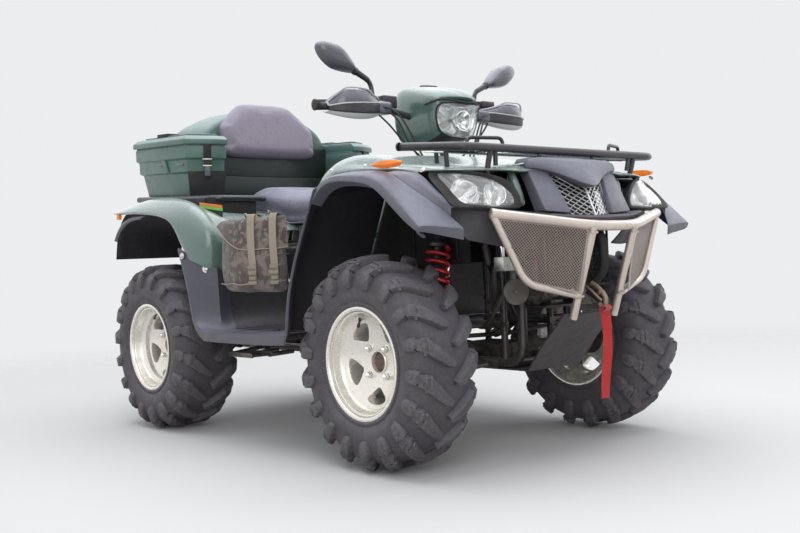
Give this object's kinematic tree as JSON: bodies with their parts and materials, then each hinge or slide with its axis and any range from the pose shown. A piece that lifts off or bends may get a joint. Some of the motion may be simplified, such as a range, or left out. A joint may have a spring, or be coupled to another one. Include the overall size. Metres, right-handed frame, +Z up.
{
  "type": "utility quad bike",
  "caption": "Four-wheel utility quad with front bull bar, tube racks, rear cargo box with backrest, hand guards and lugged tyres.",
  "frame": {"origin": "on the ground under the middle of the vehicle's box", "axes": "+X to the vehicle's left, +Y to its rear, +Z up"},
  "size_m": [1.212, 2.1457, 1.33],
  "materials": {
    "tyre": "matt with dried mud",
    "wheel": "cast and lacquered",
    "green_plastic": "gloss with dust and drops",
    "box_green": "satin",
    "black_plastic": "satin moulded",
    "nose_grey": "satin",
    "guard_steel": "satin nickel",
    "black_paint": "semi-gloss",
    "cast_metal": "dark cast",
    "damper_black": "semi-gloss",
    "spring_red": "gloss",
    "boot_rubber": "matt",
    "clear_lens": "clear",
    "amber_lens": "gloss",
    "seat_vinyl": "grained vinyl",
    "pad_vinyl": "grained vinyl",
    "bag_canvas": "camouflage canvas",
    "hook_steel": "worn",
    "strap_red": "webbing",
    "guard_shell": "gloss"
  },
  "bodies": {
    "chassis": {"frame": "black_paint", "engine": "cast_metal", "skid_plate": "black_plastic", "front_fender": "green_plastic", "flares": "black_plastic", "nose_cap": "nose_grey", "grilles": "nose_grey", "bumper_shelf": "black_plastic", "headlights": "clear_lens", "front_guard": "guard_steel", "guard_panels": "guard_steel", "front_rack": "black_paint", "marker_lights": "amber_lens", "tank_cover": "green_plastic", "side_covers": "black_plastic", "leg_panels": "black_plastic", "seat": "seat_vinyl", "rear_fender": "green_plastic", "rear_rack": "black_paint", "cargo_box": "box_green", "backrest_pad": "pad_vinyl", "side_bag": "bag_canvas", "winch": "cast_metal", "winch_hook": "hook_steel", "hook_strap": "strap_red", "suspension_arms": "black_paint", "dampers": "damper_black", "springs": "spring_red", "drive_shafts": "boot_rubber", "rear_uprights": "cast_metal", "muffler": "hook_steel", "hitch": "black_paint"},
    "steering": {"handlebar": "black_paint", "controls": "boot_rubber", "hand_guards": "guard_shell", "pod": "green_plastic", "pod_lens": "clear_lens", "mirrors": "guard_shell"},
    "knuckle_left": {"knuckle_left": "cast_metal"},
    "knuckle_right": {"knuckle_right": "cast_metal"},
    "tie_rod_left": {"tie_rod_left": "black_paint"},
    "tie_rod_right": {"tie_rod_right": "black_paint"},
    "box_lid_left": {"box_lid_left": "box_green"},
    "box_lid_right": {"box_lid_right": "box_green"},
    "wheel_front_left": {"tyre_front_left": "tyre", "rim_front_left": "wheel"},
    "wheel_front_right": {"tyre_front_right": "tyre", "rim_front_right": "wheel"},
    "wheel_rear_left": {"tyre_rear_left": "tyre", "rim_rear_left": "wheel"},
    "wheel_rear_right": {"tyre_rear_right": "tyre", "rim_rear_right": "wheel"}
  },
  "joints": [
    {"name": "steering_turn", "type": "hinge", "parent": "chassis", "child": "steering", "pos_m": [0, -0.3355, 1], "axis": [0, 0.4695, 0.8829], "range_deg": [-40, 40]},
    {"name": "knuckle_left_turn", "type": "hinge", "parent": "chassis", "child": "knuckle_left", "pos_m": [0.4, -0.5675, 0.316], "axis": [0, 0, 1], "range_deg": [-34, 34]},
    {"name": "tie_rod_left_turn", "type": "hinge", "parent": "steering", "child": "tie_rod_left", "pos_m": [0.024, -0.59289, 0.37108], "axis": [0, 0.4695, 0.8829], "range_deg": [-40, 40]},
    {"name": "wheel_front_left_spin", "type": "hinge", "parent": "knuckle_left", "child": "wheel_front_left", "pos_m": [0.467, -0.5675, 0.316], "axis": [1, 0, 0], "continuous": true},
    {"name": "wheel_rear_left_spin", "type": "hinge", "parent": "chassis", "child": "wheel_rear_left", "pos_m": [0.48, 0.7175, 0.316], "axis": [1, 0, 0], "continuous": true},
    {"name": "box_lid_left_open", "type": "hinge", "parent": "chassis", "child": "box_lid_left", "pos_m": [0.3116, 0.79407, 1.13443], "axis": [0, -0.9982, -0.0602], "range_deg": [0, 95]},
    {"name": "knuckle_right_turn", "type": "hinge", "parent": "chassis", "child": "knuckle_right", "pos_m": [-0.4, -0.5675, 0.316], "axis": [0, 0, 1], "range_deg": [-34, 34]},
    {"name": "tie_rod_right_turn", "type": "hinge", "parent": "steering", "child": "tie_rod_right", "pos_m": [-0.024, -0.59289, 0.37108], "axis": [0, 0.4695, 0.8829], "range_deg": [-40, 40]},
    {"name": "wheel_front_right_spin", "type": "hinge", "parent": "knuckle_right", "child": "wheel_front_right", "pos_m": [-0.467, -0.5675, 0.316], "axis": [1, 0, 0], "continuous": true},
    {"name": "wheel_rear_right_spin", "type": "hinge", "parent": "chassis", "child": "wheel_rear_right", "pos_m": [-0.48, 0.7175, 0.316], "axis": [1, 0, 0], "continuous": true},
    {"name": "box_lid_right_open", "type": "hinge", "parent": "chassis", "child": "box_lid_right", "pos_m": [-0.3116, 0.79407, 1.13443], "axis": [0, 0.9982, 0.0602], "range_deg": [0, 95]}
  ],
  "couplings": [
    {"joint": "knuckle_left_turn", "follows": "steering_turn", "ratio": 0.85},
    {"joint": "tie_rod_left_turn", "follows": "steering_turn", "ratio": -1},
    {"joint": "knuckle_right_turn", "follows": "steering_turn", "ratio": 0.85},
    {"joint": "tie_rod_right_turn", "follows": "steering_turn", "ratio": -1}
  ]
}
